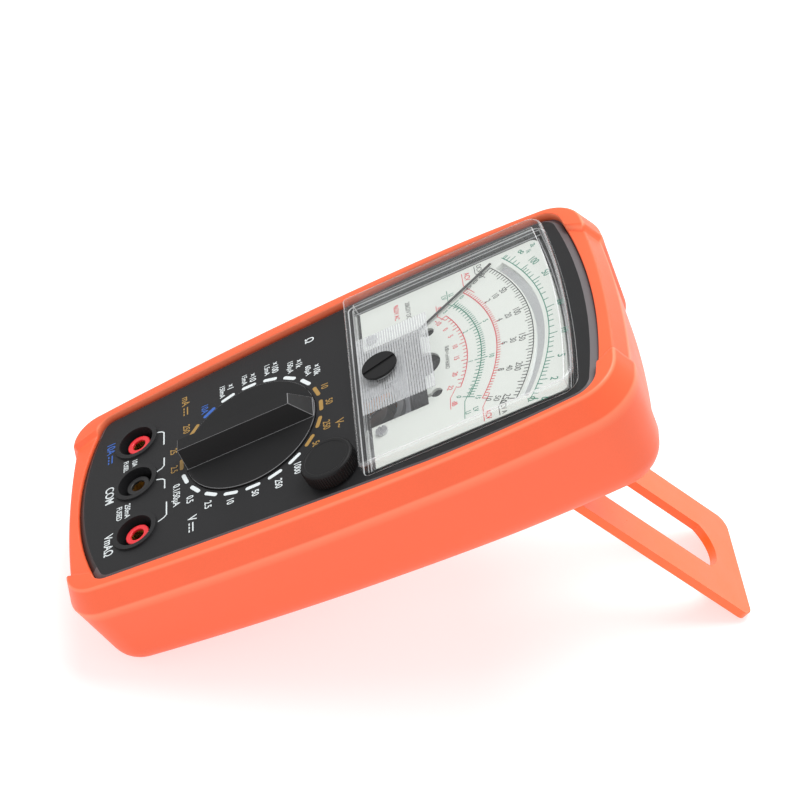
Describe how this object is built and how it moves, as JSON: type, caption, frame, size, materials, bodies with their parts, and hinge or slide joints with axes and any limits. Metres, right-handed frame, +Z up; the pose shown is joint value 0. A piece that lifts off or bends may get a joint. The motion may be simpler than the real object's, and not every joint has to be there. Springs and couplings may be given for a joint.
{
  "type": "multimeter",
  "caption": "Pocket analogue multimeter with a moving needle, rotary range switch and plug sockets, in a rubber holster propped on a hinged tilt stand.",
  "frame": {"origin": "middle of the floor under the standing meter, at the bottom centre of its bounding box", "axes": "+X to the right of a person reading the face, +Y along the floor towards the meter's raised top end, +Z up; the face leans back 61.2 degrees from upright"},
  "size_m": [0.0932, 0.1952, 0.1041],
  "materials": {
    "holster_rubber": "soft matt elastomer",
    "stand_plastic": "fine matt",
    "case_plastic": "fine spark-eroded grain",
    "clear_plastic": "polished, clear",
    "dial_enamel": "satin off-white enamel",
    "mirror": "silvered",
    "steel": "zinc plated",
    "soft_iron": "turned",
    "magnet": "ground",
    "brass": "turned",
    "frame_plastic": "matt",
    "aluminium": "bright",
    "copper_wire": "enamelled copper",
    "needle_paint": "thin black paint",
    "spring_bronze": "phosphor bronze",
    "knob_plastic": "satin",
    "rotor_plastic": "natural acetal",
    "component_body": "lacquered",
    "red_plastic": "gloss",
    "black_plastic": "gloss",
    "board_laminate": "green solder mask",
    "fuse_glass": "clear tube",
    "cell_jacket": "plain shrink sleeve",
    "wire_jacket": "soft insulation"
  },
  "bodies": {
    "case": {"holster": "holster_rubber", "front_case": "case_plastic", "rear_case": "case_plastic", "case_screws": "steel", "window_cover": "clear_plastic", "dial_plate": "dial_enamel", "mirror_band": "mirror", "dial_screws": "steel", "yoke_ring": "soft_iron", "magnet_core": "magnet", "core_supports": "brass", "movement_frame": "frame_plastic", "front_bridge": "brass", "front_jewel_screw": "brass", "rear_jewel_screw": "brass", "detent_ring": "rotor_plastic", "ohm_potentiometer": "component_body", "jack_sleeve_ten_amp": "brass", "jack_sleeve_common": "brass", "jack_sleeve_volt_ohm": "brass", "jack_collar_ten_amp": "red_plastic", "jack_collar_common": "black_plastic", "jack_collar_volt_ohm": "red_plastic", "circuit_board": "board_laminate", "board_screws": "steel", "glass_fuse": "fuse_glass", "fuse_clips": "brass", "current_shunt": "copper_wire", "buzzer": "black_plastic", "resistors": "component_body", "capacitors": "component_body", "diodes": "component_body", "battery_tray": "case_plastic", "penlight_cell_left": "cell_jacket", "penlight_cell_right": "cell_jacket", "square_battery": "cell_jacket", "cell_springs": "steel", "cell_strap": "steel", "battery_snap": "black_plastic", "battery_wires": "wire_jacket", "movement_wires": "wire_jacket"},
    "stand": {"tilt_stand": "stand_plastic"},
    "coil": {"needle": "needle_paint", "balance_weights": "brass", "coil_former": "aluminium", "coil_winding": "copper_wire", "pivot_staffs": "steel", "front_hairspring": "spring_bronze", "rear_hairspring": "spring_bronze"},
    "zero_adjuster": {"zero_adjust_screw": "frame_plastic"},
    "zero_arm": {"zero_lever": "brass"},
    "selector": {"selector_knob": "knob_plastic", "selector_rotor": "rotor_plastic", "knob_screw": "steel", "wiper_contacts": "spring_bronze"},
    "ball_a": {"detent_ball_a": "steel", "detent_spring_a": "steel"},
    "ball_b": {"detent_ball_b": "steel", "detent_spring_b": "steel"},
    "adjuster": {"ohm_wheel": "knob_plastic"}
  },
  "joints": [
    {"name": "stand_fold", "type": "hinge", "parent": "case", "child": "stand", "pos_m": [0, 0.02799, 0.05622], "axis": [-1, 0, 0], "range_deg": [0, 113.5]},
    {"name": "selector_turn", "type": "hinge", "parent": "case", "child": "selector", "pos_m": [0, -0.04588, 0.05361], "axis": [0, -0.4818, 0.8763], "continuous": true},
    {"name": "ball_a_press", "type": "slide", "parent": "selector", "child": "ball_a", "axis": [1, 0, 0], "range_m": [0, 0.0009]},
    {"name": "ball_b_press", "type": "slide", "parent": "selector", "child": "ball_b", "axis": [-1, 0, 0], "range_m": [0, 0.0009]},
    {"name": "ohm_adjust_turn", "type": "hinge", "parent": "case", "child": "adjuster", "pos_m": [0.0286, -0.02512, 0.06503], "axis": [0, -0.4818, 0.8763], "range_deg": [-135, 135]},
    {"name": "zero_adjust_turn", "type": "hinge", "parent": "case", "child": "zero_adjuster", "pos_m": [0.0004, -0.00956, 0.07358], "axis": [0, -0.4818, 0.8763], "range_deg": [-30, 30]},
    {"name": "zero_arm_turn", "type": "hinge", "parent": "case", "child": "zero_arm", "pos_m": [0.0004, -0.01995, 0.06787], "axis": [0, -0.4818, 0.8763], "range_deg": [-4.5, 4.5]},
    {"name": "needle_swing", "type": "hinge", "parent": "case", "child": "coil", "pos_m": [0.0004, -0.01995, 0.06787], "axis": [0, 0.4818, -0.8763], "range_deg": [-2, 68], "stiffness_Nm_per_rad": 0.0004}
  ],
  "couplings": [
    {"joint": "zero_arm_turn", "follows": "zero_adjust_turn", "ratio": -0.1461}
  ]
}
